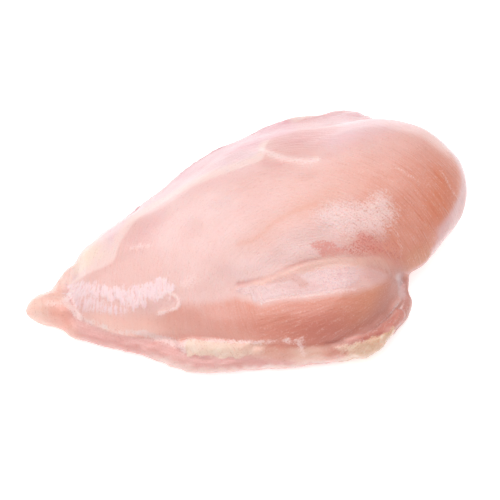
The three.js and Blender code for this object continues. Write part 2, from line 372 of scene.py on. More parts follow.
def relax(points, quads, rounds):
    """Move each vertex to the middle of its neighbours, then back to the surface."""
    ahead = np.roll(quads, -1, axis=1).ravel()
    vertex = quads.ravel()
    share = np.bincount(vertex)
    for _ in range(rounds):
        points = np.stack([np.bincount(vertex, points[ahead, d]) / share for d in range(3)], 1)
        here, gradient = slope_of(points)
        steep = np.maximum(np.einsum("ij,ij->i", gradient, gradient), LEAST_SLOPE)
        points -= gradient * (here / steep)[:, None]
    return points


points = relax(points, quads, ROUNDS)
field_low, field_high = points.min(axis=0), points.max(axis=0)
print("box in mm:", np.round(field_high - field_low, 1))

# %% [markdown]
# ## Lines and patches on the surface
#
# The eye knows meat by its small features: a tendon, a lip of membrane, a crease with a pale
# film beside it, lumps of fat. Each is a short line or a patch with a name, in millimetres in
# the same frame as the body. The distance of every vertex from it then serves twice: it
# raises or lowers the surface, and it marks where the colour and the gloss change.

# %% Seeded noise
# How many waves are added up, and what their sum is divided by
WAVES = 20
WAVE_SPREAD = 4.5


def noise(points, pitch, seed, stretch=(1, 1, 1)):
    """A smooth random value of about -1 to 1 with hills about pitch mm apart."""
    random = np.random.default_rng(seed)
    total = np.zeros(len(points))
    for _ in range(WAVES):
        direction = random.normal(size=3)
        direction /= np.linalg.norm(direction) * np.array(stretch)
        turns = 2 * math.pi / pitch * random.uniform(0.6, 1.4)
        total += np.cos(points @ direction * turns + random.uniform(0, 2 * math.pi))
    return total / WAVE_SPREAD


broken = noise(points, 3.6, 1)
grit = noise(points, 2.2, 2)
print("noise from", round(broken.min(), 1), "to", round(broken.max(), 1))

# %% Nearness to a line or a patch
LINE_STEPS = 5


def ridge(line, width):
    """1 at the vertices on a line, falling to 0 at its width."""
    return 1 - ease(0, width, line_distance(points, curve(line, LINE_STEPS, False)))


def patch(corners, soft, ragged=0.0):
    """1 at the vertices inside an outline in plan, with a soft and ragged edge."""
    away = area_distance(points, curve(corners, LINE_STEPS, True)) + ragged
    return 1 - ease(-soft, soft, away)


def drawn(table):
    """Sum of the ridges of a table, whose rows are weight, line and width in mm."""
    return sum(weight * ridge(line, width) for weight, line, width in table)


def line_length(line):
    """Length of a drawn line in mm."""
    steps = np.diff(curve(line, LINE_STEPS, False), axis=0)
    return round(float(np.linalg.norm(steps, axis=1).sum()), 1)


print("the drawn outline measures", line_length(OUTLINE), "mm")

# %% Lines of the far side
# The near side of the pale margin
FAR_BAND = [
    (-68, 16), (-60, 14), (-51, 13), (-46.5, 18.2), (-41, 23), (-34, 28), (-26, 29.7), (-17, 29.6),
    (-9, 28.2), (-1, 27.4), (7, 25.9), (14, 24.6), (19, 25.6), (22, 30.5), (25, 35), (28, 37.5),
    (33, 43), (39, 48), (45, 50), (60, 51),
]
# Deeper pink past the margin
FAR_PINK = [
    (-12, 43), (-4, 39.5), (5, 40.5), (9, 38.5), (14, 38), (20, 37), (25, 37.5), (33, 37), (38, 38),
    (42, 42), (42, 58), (20, 58), (-10, 52),
]
# A pale stretch in front of the margin
PALE_FAR = [(-36, 20), (-24, 26), (-8, 25), (4, 22), (2, 14), (-14, 14), (-30, 12)]
# A flushed stretch in front of its left half
NEAR_STREAK = [(-44, 16), (-40, 22), (-34, 26.5), (-28, 28), (-25, 22), (-32, 14), (-40, 12)]
# Cream fat where the margin begins
LEFT_CREAM = [(-64, 26), (-59.6, 29.5), (-55.7, 28.9), (-53.3, 24.3), (-54, 20), (-59, 18.5), (-63, 20)]
print("pale margin in mm:", line_length(FAR_BAND))

# %% Lines of the dome
# A flat pale tendon, with a painted highlight along it
TENDON = [(21, 31), (22.3, 27), (24.2, 23.6), (26.4, 20.8), (29.5, 18.2), (33, 15.4), (37, 14.1)]
# The small hollow in front of the tendon, with painted shade in it
TENDON_SHADE = [(19, 23), (20.7, 21.3), (23, 19.5)]
# The flushed hollow that the tendon curls round
NEAR_TENDON = [(21.5, 31.5), (25, 36), (33, 46), (42, 53), (58, 50), (59, 34), (50, 24), (34, 18), (27, 22)]
# The pale left half of the dome
PALE_MIDDLE = [(-28, 26), (-12, 26), (0, 16), (2, 2), (-8, -8), (-22, -8), (-34, 2), (-34, 14)]
# Painted light in the valley over the front lobe, against its shade
VALLEY_LIGHT = [
    (-16, -14), (-6, -11), (4, -12), (16, -12.5), (32, -13.5), (31, -19), (20, -21), (4, -20),
    (-10, -17),
]
# A shallow fold along the middle, its sharper left part and the swelling in front of it; the fold has
# painted shade along it
FOLD = [(-5, -5.4), (0.3, -6.6), (5, -5.9), (11, -4.2), (20, -3.3), (28, -4), (35, -3)]
FOLD_FLOOR = FOLD[:6]
FOLD_BULGE = [(8.5, -9), (17, -8.7), (24, -9.8)]
# Two small painted highlights on wet places
SMALL_SHINE = [(-42, 15), (-39, 14), (-36, 12.5)]
SECOND_SHINE = [(-29, -8.2), (-26, -8.9)]
print("tendon in mm:", line_length(TENDON))

# %% Lines of the shoulder
# The wet patch on the near side of the shoulder, whose pale colour is a painted highlight, and the painted
# glints on it
GLOSS = [
    (34, -6.6), (38.6, -8.2), (43.8, -10.9), (48.7, -11.3), (52.6, -10.4), (54.6, -13.5), (55.1, -17.9),
    (54.9, -20.4), (51.2, -21.9), (48.1, -24.2), (45, -25.3), (41, -22.6), (35.4, -19.9), (30.6, -16.5),
    (26.1, -12.4), (26.5, -7.7),
]
GLINTS = [(46.5, -12), (50.7, -11), (54, -13), (55, -17), (53, -21), (49, -19), (46.5, -15.5)]
GLINTS_LEFT = [(12.5, -12.3), (17.9, -11.8), (21.8, -14.4), (24.4, -18), (20, -18.4), (15.2, -17.8)]
# The bruise below the wet patch, and where it has blood dots
RED_PATCH = [
    (20, -17.4), (22.4, -16.6), (25.9, -18.2), (29.1, -20.6), (33, -22.4), (36, -22.3), (38.5, -20.8),
    (40.4, -20.4), (42.3, -23.2), (44.7, -25.8), (46.2, -28.6), (43.2, -28.9), (38.7, -28.3),
    (35.3, -27.5), (33, -25), (30, -23.6), (27.9, -23.7), (23.7, -22.6), (21.4, -20),
]
RED_DOTS = [
    (38, -21.5), (41, -20.5), (44, -22), (48, -25), (51.5, -28.5), (52.5, -32), (50.6, -33),
    (46, -30.5), (42, -27), (38, -25),
]
# The warmest meat, at the right end
ORANGE_SPOT = [(79, -6), (83, -14), (79, -22), (72, -26), (65, -27), (67, -21), (74, -14)]
# Pale threads
HAIRLINES = [[(61.2, -2.5), (63.6, -3.9), (65.3, -5.8), (66.4, -7.9), (68, -10.1)],
             [(51.4, -22.3), (52.7, -24.4), (53.3, -27), (53.3, -29.3), (52.4, -31.4)],
             [(80.4, -8.9), (81, -12.5), (81.5, -15.4), (82.3, -17.8)]]
print("threads in mm:", [line_length(line) for line in HAIRLINES])

# %% Lines of the front lobe
# The crease over the lobe, with painted shade along it, and the peach lip in front of it
CREASE = [
    (-11, -17.7, 24), (-4.6, -19.6, 25), (2.3, -21, 26), (11.5, -21.2, 28), (19.6, -22, 28),
    (29.4, -24, 27), (35.7, -26.2, 26.5), (45.1, -29.3, 25), (50.8, -32.5, 21),
]
PEACH_LINE = [
    (-5, -20.5, 24), (1.8, -22.2, 25.6), (6.4, -22.3, 26.5), (11, -22.5, 27), (17, -23.2, 27),
    (23, -24, 27), (28.8, -25.5, 26), (35, -27.9, 25), (41.9, -29.9, 23.4), (49.3, -33, 19.4),
]
# The film on top of the lobe, whose pale colour is partly a painted highlight
TERRACE = [
    (-13.3, -18.2), (-5.2, -20.9), (2.1, -23.3), (10.2, -24.2), (19.2, -25.7), (29.5, -28.6),
    (34.5, -31), (33.4, -34), (29, -36), (25, -36.2), (20, -35.6), (11, -33.2), (2.3, -29.5),
    (-6, -27.8), (-8.5, -23.6), (-11.4, -20.8),
]
# A bare wedge that parts the film
WEDGE = [
    (-1, -22), (3, -22.4), (7, -22.9), (10.5, -24), (12.5, -26.5), (13.8, -30), (11, -30.5), (8.5, -27),
    (5, -25), (1, -23.5),
]
# Where the top turns down to the front, and the part of it along the lobe
FRONT_LINE = [
    (-67, -2), (-55, -9.5), (-49, -11), (-43, -13), (-33, -13), (-26.5, -16), (-20, -18.5),
    (-13.7, -20), (-9.6, -24), (-6, -28), (2, -30), (10.7, -33.8), (19.6, -36.4), (29, -38.2),
    (35.7, -38), (42, -36.3), (50, -32.2), (58, -30),
]
LOBE_RIM = FRONT_LINE[9:14]
print("crease in mm:", line_length(CREASE))

# %% Lines of the right end
# The film and the bright line in the notch between shoulder and flap
NOTCH_FILM = [(50.5, -34.2, 14.4), (50.3, -36.8, 10.9), (49.2, -40.5, 9.8)]
NOTCH_LINE = [
    (50.5, -34.2, 13), (51.6, -36.1, 10.5), (50.8, -39.7, 9.5), (48.5, -43.3, 9), (45.5, -46.5, 9.8),
]
# The lilac film over the end of the lobe, and its folded lines
LILAC_END = [
    (14, -50.5), (26, -50.5), (33, -46.5), (38, -42), (43, -38), (48, -35), (52, -34), (56, -38),
    (52, -45), (46, -51), (38, -56), (26, -56), (14, -52.5),
]
LILAC_TOP = [
    (38.4, -29.5), (43.8, -31.5), (48.2, -33), (51, -34), (50.2, -35.5), (44.1, -37), (38.3, -37.5),
    (36, -35),
]
LILAC_LINES = [[(49, -38, 12), (46.6, -42.5, 10.6), (40.9, -46.7, 11.9), (34, -50.1, 12.2)],
               [(45, -39.5, 15), (41.6, -43, 14.9), (35.5, -46.7, 14.3)],
               [(45.7, -43.5, 10.5), (42.1, -46.1, 11.7), (38.1, -48, 11.3), (33.1, -49.2, 12.1)],
               [(46.5, -45.8, 10.5), (41.1, -49.7, 11.8), (35.8, -51.5, 13), (30.3, -52.2, 11.9)]]
# The groove between the lobe and the flap, lifted in relief and lightened by painted light against its
# shadow
GROOVE = [
    (20.3, -51.8, 12.2), (26.6, -51.1, 12.8), (30.8, -49.5, 11.9), (34.7, -48.7, 12.4),
    (38.6, -46.9, 11.5), (42.6, -44.9, 12.5), (46, -42.5, 11),
]
print("groove in mm:", line_length(GROOVE))

# %% Lines of the left end
# The wrinkled membrane, its torn part and the lip that it ends in; their pale colour is partly a painted
# highlight
MEMBRANE = [
    (-71.1, 13.7), (-68.5, 15.9), (-65.3, 14.8), (-60.1, 8.7), (-56.2, 4.6), (-52.3, 1.6),
    (-47.9, -0.9), (-43.4, -2.4), (-39, -2), (-35.9, -2.6), (-34.1, -5.2), (-33.7, -8.2),
    (-36.3, -10.2), (-40.3, -9.8), (-44.9, -8.8), (-49.5, -8.6), (-52.7, -6.2), (-56.1, -2.3),
    (-59.1, 0.8), (-62.2, 3.8), (-65.3, 6.8), (-69.1, 8.8), (-71.8, 9.6), (-72.6, 11.4),
]
MEMBRANE_TORN = [
    (-70.8, 9.9), (-65.6, 7), (-59.4, 0.8), (-53.5, -5.5), (-50.5, -8.8), (-56, -7.5), (-62.5, -2.5),
    (-67.2, 2), (-69.6, 6),
]
LIP = [(-36.5, -8.9), (-34.3, -11.4), (-34, -13.5), (-35.4, -15), (-39, -14.6), (-43, -13.8)]
# The white seam along the foot of the left wall
SEAM = [
    (-73, 10.6, 11), (-71.7, 7.5, 10), (-70.6, 4.3, 9), (-67.7, -0.2, 8.6), (-64, -3.9, 9.6),
    (-60, -8.3, 9.8), (-55, -11.8, 10.3), (-50, -14.8, 10.4),
]
SEAM_FOOT = [
    (-68.1, 0.9, 8.8), (-65.6, -3.4, 8.3), (-62.7, -6.7, 8.4), (-59.7, -9.6, 8.5), (-56.5, -12, 8.5),
    (-53.2, -14.3, 8.4),
]
SEAM_BAND = [(-50, -15, 10.2), (-47, -17, 9.2), (-44, -19.7, 8.5), (-41.2, -22.7, 8.5), (-39, -25.7, 9.5)]
# The nub at the tip: its ridge, a painted highlight, warm lower half, swelling and film
NUB_RIDGE = [(-80.8, 14.3), (-78, 12.8), (-75.2, 11.2)]
NUB_SHINE = [(-79.4, 11), (-77.7, 10.1), (-76, 9.2)]
NUB_WARM = [(-80, 9), (-74, 8.3), (-71.7, 5.4), (-70.3, 2), (-72.5, 0), (-76.5, 0), (-80.5, 4)]
NUB_BEAN = [(-77.5, 8), (-75, 5.8), (-72.5, 3.2)]
NUB_FILM = [
    (-68.7, 13.1, 11), (-70.4, 12.3, 10.3), (-72.3, 10.4, 10.7), (-73.6, 8.9, 10.7), (-73, 7, 10),
    (-71.7, 5.2, 9.3), (-70, 1.8, 8.2),
]
print("seam in mm:", line_length(SEAM))

# %% Lines of the fat
# The left piece of fat, and its upper edge
FAT_LEFT = [
    (-38.5, -27), (-37.2, -25.4), (-34.8, -25.8), (-31.6, -28.2), (-26.4, -30.8), (-21.4, -34),
    (-16.2, -36.8), (-11.1, -39.3), (-8, -41.5), (-12.8, -42.2), (-18.1, -40.4), (-23.4, -38.2),
    (-28.5, -36), (-33.8, -33.1), (-37.5, -30.5),
]
FAT_EDGE = [
    (-38.5, -28.5, 9), (-37.4, -26, 10), (-34.8, -25.8, 10.6), (-31.6, -28.2, 12.2), (-26.4, -30.8, 12),
    (-21.4, -33.7, 12.3), (-16.2, -36.2, 12.6), (-11.1, -38.8, 13.5), (-6.5, -41, 14.3),
    (-1.5, -43.2, 14.6),
]
# White wisps between the two pieces of fat
FAT_WISPS = [[(-1.6, -43.1, 14.7), (0.4, -44.2, 14.4), (2.2, -44.8, 14.7), (3.7, -45.2, 15)],
             [(1.5, -44.8, 14.4), (2.5, -46, 13.3), (2.3, -47.5, 12.1), (2.6, -48.9, 10.9)]]
# The dark gap over the fat at the right
FAT_SHADOW = [
    (12, -49.5, 13), (17, -51.5, 13.2), (20.5, -52.8, 13.1), (25, -53.7, 13.1), (29, -54.2, 12.9),
    (33.5, -54.3, 12.8),
]
# The upper edge of the fat at the right, in plan
FAT_FRONT = [
    (8, -47.5), (13, -50.5), (16.4, -52.3), (20, -53.6), (23.6, -54.4), (27.7, -54.8), (31.9, -54.8),
    (36.8, -54.9), (40, -53.5), (43, -51),
]
print("edge of the fat in mm:", line_length(FAT_EDGE))

# %% Places where the outline is trimmed
# The flap's right end: a bulge, a hollow behind it and a cut corner
END_BULGE = [(50, -44, 5), (47.2, -47, 5)]
END_HOLLOW = [(58, -33, 5), (55.5, -38, 5)]
END_CORNER = [(41, -53.5, 9), (36.5, -56.5, 8)]
# The shoulder: its trimmed underside, its end and its far side
UNDER_SHOULDER = [(68, -30.5, 14), (74.5, -27.5, 15)]
SHOULDER_END = [(84, -19, 17), (87, -13, 18)]
FAR_SHOULDER = [(82, 14, 31), (89, 6, 27)]
# The far edge: two hollows and a bulge
FAR_LEFT_EDGE = [(-50, 30, 8), (-42, 34, 9), (-34, 37, 10)]
FAR_RIGHT_EDGE = [(56, 53, 8), (62, 52, 8), (68, 49.5, 8)]
FAR_TOP_EDGE = [(34, 54, 9), (40, 55, 10), (46, 55, 10)]
# The saddle behind the nub, the nub's foot and a dent in the front of the flap
SADDLE = [(-70, 20.5, 8), (-67, 23, 8)]
NUB_FOOT = [(-75, 0.5, 4), (-72, -2, 4)]
FLAP_DENT = [(-20, -44, 3), (-12, -46.5, 3)]
print("trimmed underside of the shoulder in mm:", line_length(UNDER_SHOULDER))

# %% [markdown]
# ## Relief
#
# Sculpting or a displacement texture would both do. Here the vertices are moved along their
# normals by sums of the distances above, so that each fold stays where its colour is. Most
# are less than a millimetre high, but real geometry catches the light from every side. The
# lowest part keeps still, so that the underside stays flat.

# %% Where things lie
upper, lobe, both, flap = layers(*points.T)[:4]
fat_gap = fat_field(*points.T)
gradient = slope_of(points)[1]
normals = gradient / np.linalg.norm(gradient, axis=1, keepdims=True)
x, y, z = points.T
up = normals[:, 2]
facing_up = ease(-0.1, 0.4, up)

on_fat = patch(FAT_LEFT, 0.7, 0.5 * broken) * ease(5.5, 7, z) * ease(-3, -18, x)
fat_line = np.interp(x, *zip(*FAT_FRONT)) - y
on_fat += (ease(11, 21, x) * ease(44, 37, x)
           * ease(-0.8, 0.8, fat_line + 0.6 * broken) * ease(15, 13, z))
on_membrane = patch(MEMBRANE, 2, 0.7 * broken) * facing_up
on_membrane = np.maximum(on_membrane, 0.7 * patch(MEMBRANE_TORN, 2))
terrace_softness = along_stops([(16, 0.9), (34, 3)], x)
on_terrace = patch(TERRACE, terrace_softness, 0.5 * broken) * ease(12, 17, z)
on_flap = ease(0.3, 1.5, both - flap) * (1 - np.clip(on_fat, 0, 1))
print("vertices on the fat:", int((on_fat > 0.5).sum()))

# %% Nearness to the small lines
near_seam = ridge(SEAM, 2.4) * (0.75 + 0.4 * broken)
near_band = ridge(SEAM_BAND, 3.4)
near_lip = ridge(LIP, 1.3)
near_tendon = ridge(TENDON, 3)
near_notch = ridge(NOTCH_FILM, 3.6)
near_fat_edge = ridge(FAT_EDGE, 1.7) * (0.85 + 0.25 * broken)
near_fat_edge *= along_stops([(-10, 1), (-2, 0.3)], x)
near_wisps = np.max([ridge(line, 2.6) for line in FAT_WISPS], axis=0)
near_fat_edge += near_wisps * (0.65 + 0.15 * grit)
near_foot = ridge(SEAM_FOOT, 3)
near_groove = ridge(GROOVE, 3.4)
print("vertices on the tendon:", int((near_tendon > 0.5).sum()))

# %% Wrinkles
# They run up and down the picture, so they change quickly along u and slowly along w.
VIEW_TURN = math.radians(-24)
u = x * math.cos(VIEW_TURN) + y * math.sin(VIEW_TURN)
w = y * math.cos(VIEW_TURN) - x * math.sin(VIEW_TURN)
fanned = u - 0.6 * (w + 21) * ease(-54, -68, u)
wrinkle = noise(np.stack([fanned, w / 4, z / 4], 1), 3.0, 6)
print("wrinkles from", round(wrinkle.min(), 1), "to", round(wrinkle.max(), 1))

# %% Lumps and films in relief
relief = 0.22 * noise(points, 26, 3) + 0.1 * noise(points, 11, 4)
relief += on_fat * (0.25 + 0.3 * noise(points, 8, 5) + 0.1 * grit)
relief += ease(1.5, 0.2, fat_gap) * 0.25 * noise(points, 6, 8)
relief += on_membrane * (0.1 + 0.22 * wrinkle + 0.05 * grit)
relief += on_terrace * (0.2 + 0.1 * grit)
relief += 0.3 * near_lip + 0.35 * near_tendon + 0.25 * near_seam + 0.3 * near_fat_edge
relief += 0.6 * near_foot + 0.8 * near_groove - 0.25 * near_notch
relief += on_flap * (0.2 * noise(points, 5, 7, (3, 1, 1)) + 0.1 * grit)
relief += 0.8 * ridge(NUB_BEAN, 5.5) * facing_up
print("lumps in mm:", round(relief.min(), 2), "to", round(relief.max(), 2))

# %% Folds and trimmed edges in relief
# Rise in mm, line and width in mm
FOLDS = [
    (0.18, PEACH_LINE, 2.4),
    (-0.25, CREASE, 1.2),
    (-0.3, TENDON_SHADE, 3),
    (-0.4, FOLD, 7),
    (0.6, FOLD_BULGE, 8),
    (0.4, NUB_RIDGE, 2.5),
    (0.7, NUB_FOOT, 5),
    (1.5, SADDLE, 6),
    (-1.4, UNDER_SHOULDER, 8),
    (0.9, SHOULDER_END, 8),
    (-0.8, FAR_SHOULDER, 14),
    (-1.0, FAR_LEFT_EDGE, 7),
    (-1.1, FAR_RIGHT_EDGE, 6),
    (0.5, FAR_TOP_EDGE, 6),
]
# These three move only what faces the front and the right
END_FOLDS = [
    (1.6, END_BULGE, 6),
    (-2.2, END_HOLLOW, 6),
    (-1.9, END_CORNER, 6),
]
to_front_right = ease(0, 0.5, 0.7 * normals[:, 0] - 0.7 * normals[:, 1])
relief += drawn(FOLDS) + drawn(END_FOLDS) * to_front_right
relief -= 0.7 * ridge(FLAP_DENT, 6) * ease(0, -0.5, normals[:, 1])
relief -= 1.9 * ease(-74, -82, x) * ease(0.1, -0.6, normals[:, 1])
print("relief in mm:", round(relief.min(), 2), "to", round(relief.max(), 2))

# What lies below the first height keeps still, and what is above the second is free
STILL_BELOW = 0.1
FREE_ABOVE = 2.5
shaped = points + normals * (relief * ease(STILL_BELOW, FREE_ABOVE, z))[:, None]

# %% [markdown]
# ## One object in the frame
#
# The CAD model is one solid, the node breast, in metres. The finer mesh takes its place, so it
# has to lie within the same box. It is moved until their middles agree, and what still reaches
# out is held back just inside. Scaling it instead would shift every fold from its place.

# %% Fit the shaped mesh into the CAD box
# How far inside the box the mesh is held, in mm
CLEARANCE = 0.05
cad_size = MM * np.array(cad_high - cad_low)
cad_middle = MM * np.array(cad_high + cad_low) / 2
shift = cad_middle - (field_low + field_high) / 2
shift[2] = MM * cad_low[2]
shaped += shift
shaped[:, 2] = np.maximum(shaped[:, 2], 0)
inner = cad_size / 2 - CLEARANCE
shaped = np.clip(shaped, cad_middle - inner, cad_middle + inner)
print("shift of the field in mm:", np.round(shift, 2))

# %% The mesh object
mesh = bpy.data.meshes.new("breast_meat")
mesh.from_pydata((shaped / MM).tolist(), [], quads.tolist())
mesh.shade_smooth()
meat = bpy.data.objects.new("breast_meat", mesh)
bpy.context.collection.objects.link(meat)
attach(meat, "root")
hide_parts("breast")
print("faces:", len(mesh.polygons))

# %% [markdown]
# ## Marks for the finish
#
# Each mark is a number, mostly from 0 to 1, that is kept on the vertices: how fat, how pale,
# how warm or how wet the meat is there, and where shade, light and highlights are painted.
# The grain says how far along and across the muscle fibres a vertex lies. On the dome the
# fibres run in arcs round one point at the front, and on the lobe they run together towards
# the notch at the right.

# %% Distances that several marks share
# 1 where the lobe and not the dome is the outer layer
on_lobe = ease(-0.8, 0.8, upper - lobe)
# How far a place is past the near side of the pale margin, and past the line of the front
MARGIN_STEPS = 4
margin = y - np.interp(x, *zip(*curve(FAR_BAND, MARGIN_STEPS, False)))
below_front = np.interp(x, *zip(*FRONT_LINE)) - y
# How warm the meat is, from the pale middle of the dome to the far end of the shoulder
to_shoulder = along_stops([(-4, 0), (26, 0.26), (54, 0.52), (78, 0.78), (110, 0.92)], x - 2.8 * y)
# Distance past the outline of the flap, and the width of its pale edge
edge = outline_distance(x, y)
edge_width = along_stops([(-32, 2.8), (-22, 1.2), (-12, 0.8)], x)
# Where the normal points up less than this, the shoulder's rim gets a painted pale reflection and the left
# wall painted light
rim_level = along_stops([(-34, 0.05), (-32, 0.4), (-27, 0.58), (-18, 0.55), (-3, 0.67), (8, 0.71),
                         (24, 0.58)], y)
wall_start = along_stops([(-40, 0.92), (-28, 0.8)], x)
print("share of the lobe:", round(float(on_lobe.mean()), 2))

# %% Keeping marks on the vertices
def keep(marks):
    """Keep each mark on the vertices, under its name."""
    for name, amounts in marks.items():
        mark_data = mesh.attributes.new(name, "FLOAT", "POINT").data
        mark_data.foreach_set("value", amounts.astype(np.float32))
    print("marks:", ", ".join(marks))


# %% Marks of fat
keep({
    "fat": on_fat,
    "roll": ease(1.5, 0.2, fat_gap) * ease(-26, -8, x) * ease(22, 8, x),
    "yellow": ease(10, 30, x),
    "cream": patch(LEFT_CREAM, 3, 0.8 * broken),
    "beige": ease(3, 0.5, fat_gap) * ease(-4, 1, x) * ease(12, 6, x) * ease(13.5, 11.5, z),
    "fat_shadow": ridge(FAT_SHADOW, 1.3),
})

# %% Marks of films and lines, some of them painted highlights
# Pale films, seams and threads, with painted highlights: two small shines, the nub's shine and the wet
# shine on the lip and the tendon
WHITE_LINES_AND_SHINES = [
    (0.5, SECOND_SHINE, 4.5),
    (0.6, SMALL_SHINE, 2.5),
    (0.6, LOBE_RIM, 1.4),
    (0.7, NUB_FILM, 2.2),
    (0.6, NUB_SHINE, 2.2),
    (0.8, NOTCH_LINE, 1.1),
]
WHITE_LINES_AND_SHINES += [(0.55, line, 1.1) for line in LILAC_LINES]
thin_lines = drawn([(0.45, line, 1.0) for line in HAIRLINES])
keep({
    "lines": drawn(WHITE_LINES_AND_SHINES) + thin_lines * facing_up + 0.8 * near_lip + 0.9 * near_seam
        + 0.9 * near_band + 0.8 * near_tendon + near_fat_edge + 0.25 * near_foot,
    # The membrane's own pale colour, and a painted highlight on it
    "membrane_and_highlight": on_membrane,
    "terrace": on_terrace,
    "specks": on_terrace * ease(9, 20, x),
    "wedge": patch(WEDGE, 0.9, 0.4 * broken),
    "notch": near_notch,
    # Painted light that lifts the shadow in the groove
    "groove_light": ridge(GROOVE, 2.6),
    "end_film": patch(LILAC_END, 3),
    "top_film": patch(LILAC_TOP, 2.5),
})

# %% Marks of the far side
keep({
    "by_band": ease(-9, -1, margin) * ease(-38, -26, x) * ease(22, 12, x),
    "band": ease(-0.6, 1.2, margin) * along_stops([(-48, 1), (-36, 0.7), (-14, 0.7), (-4, 1)], x)
        * facing_up,
    "outer_band": ease(3.5, 7, margin) * ease(-52, -46, x) * facing_up,
    "far_pink": patch(FAR_PINK, 2.5) * ease(0.3, 0.5, up),
    # Painted shade: a dark pink line where the far flank turns down
    "far_flank_shade": ease(1, 3, margin) * ease(0.74, 0.58, up)
        * ease(0.3, 0.5, up) * along_stops([(30, 1), (40, 0.2)], x),
    "top": ease(8, 22, y) * ease(34, 50, x),
    # Flushed pink round the tendon and in front of the margin, and painted shade in the hollow in front of
    # the tendon
    "flush_and_shade": patch(NEAR_TENDON, 2.5) * along_stops([(24, 0.5), (38, 1.25)], x)
        * (0.35 + 0.65 * ease(20, 32, y)) * ease(62, 48, x) + 0.5 * patch(NEAR_STREAK, 4)
        + 0.55 * ridge(TENDON_SHADE, 3.5),
})

# %% Marks of the bare muscle
keep({
    # Pale meat of the dome and in front of the margin, and painted light in the valley over the front lobe
    "pale_and_valley_light": patch(PALE_MIDDLE, 9) + patch(VALLEY_LIGHT, 4) * (1 - on_lobe)
        + 0.8 * patch(PALE_FAR, 5),
    # Painted shade along the shallow fold, and a darker stretch over the middle of the shoulder
    "fold": 0.8 * ridge(FOLD, 8) * along_stops([(-8, 0.5), (6, 1)], x) + 0.7 * ridge(FOLD_FLOOR, 1.8)
        + 0.6 * ease(12, 26, x) * ease(64, 50, x) * ease(-14, -4, y) * ease(14, 4, y),
    "shoulder": (0.8 * to_shoulder * ease(26, 50, x) + 0.25 * patch(ORANGE_SPOT, 4))
        * (1 - 0.3 * ease(-6, 10, y)) * (1 - on_lobe),
    "warm": ease(-0.5, 3.5, below_front) * (1 - on_flap)
        * along_stops([(-64, 0), (-40, 0.68), (-28, 0.6), (-14, 0.85), (-2, 1)], x),
    "deep": ease(1.5, 13, below_front) * ease(-26, 18, x) * (1 - on_flap),
    "amber": ease(-1, 3, below_front) * ease(12, 42, x) * (1 - on_flap) * ease(12, 18, z),
    # Painted light that makes the steep front wall of the left half paler
    "wall_light": ease(wall_start, wall_start - 0.4, up) * ease(5, -5, y)
        * along_stops([(-50, 1), (-38, 0.4), (-20, 0.6), (8, 0)], x) * (1 - on_flap),
    # Painted reflection: a pale lilac rim where the end of the shoulder turns down
    "rim_reflection": ease(rim_level + 0.06, rim_level - 0.1, up) * ease(54, 63, x) * ease(2, 9, z),
    "lobe": on_lobe,
    # Painted shade along the crease over the lobe
    "crease_shade": ridge(CREASE, 1.5),
    "peach": ridge(PEACH_LINE, along_stops([(5, 3.2), (35, 5)], x)) * (1 - on_flap)
        * along_stops([(43, 1), (51, 0.2)], x),
})

# %% Marks of wet and red places, and painted highlights
keep({
    # Painted highlight on the wet patch, and painted glints
    "gloss_highlight": patch(GLOSS, 5, 0.3 * broken) * (1 - on_lobe),
    "glint": patch(GLINTS, 3) + 0.8 * patch(GLINTS_LEFT, 2.5),
    "red": (1.25 - 0.6 * ease(29, 34, x)) * patch(RED_PATCH, 1.1, 0.6 * broken)
        + 0.4 * patch(RED_DOTS, 2.5),
    "spots": np.maximum(patch(RED_DOTS, 2.5), ease(30, 34, x) * patch(RED_PATCH, 1.3)),
})

# %% Marks of the flap and the tip
keep({
    "flap": on_flap * ease(-76, -70, x - 0.4 * np.maximum(y - 8, 0)) * ease(30, 10, y),
    "edge": ease(-1, 0, (edge + 0.5 * broken) / edge_width) * ease(8, -2, y)
        * ease(-55, -46, x) * ease(9, 6, z),
    "nub": ease(-69, -74, x),
    "bean": patch(NUB_WARM, 2),
    # The pale tip, and painted light on the saddle behind the nub against its shade
    "tip_and_saddle_light": ease(-79, -86, x - 0.3 * (y - 11)) + 0.7 * ridge(SADDLE, 6),
})

# %% Grain
# The fibres of the dome run round one point, and those of the lobe meet in the other.
ARC_CENTRE = (14, -27, 10)
ARC_MM = 45
FAN_END = (58, -34, 12)
FAN_MM = 30
from_centre = x - ARC_CENTRE[0], y - ARC_CENTRE[1], z - ARC_CENTRE[2]
dome_radius = np.sqrt(from_centre[0] ** 2 + from_centre[1] ** 2 + from_centre[2] ** 2)
dome_turn = np.arctan2(from_centre[0], from_centre[1]) * ARC_MM
fan_up = 0.6 * (z - FAN_END[2]) + 0.8 * (y - FAN_END[1])
fan_turn = np.arctan2(fan_up, FAN_END[0] - x) * FAN_MM
grains = {
    "grain_dome": (dome_turn, dome_radius),
    "grain_lobe": (np.hypot(fan_up, FAN_END[0] - x), fan_turn),
    "grain_flap": (x, 2 * edge + z),
    "grain_folds": (w, fanned),
}
for name, (along, across) in grains.items():
    directions = np.stack([along, across, np.zeros(len(x))], 1).astype(np.float32)
    mesh.attributes.new(name, "FLOAT_VECTOR", "POINT").data.foreach_set("vector", directions.ravel())
print("grains:", ", ".join(grains))

# %% [markdown]
# ## Shader maths
#
# The finish is a graph of nodes. Ten can be drawn by hand, but this one has hundreds. So a small
# class wraps a socket, and its sums and products read like ordinary Python and make the maths
# nodes. Every other node comes from one method: its type, its settings, then its inputs.

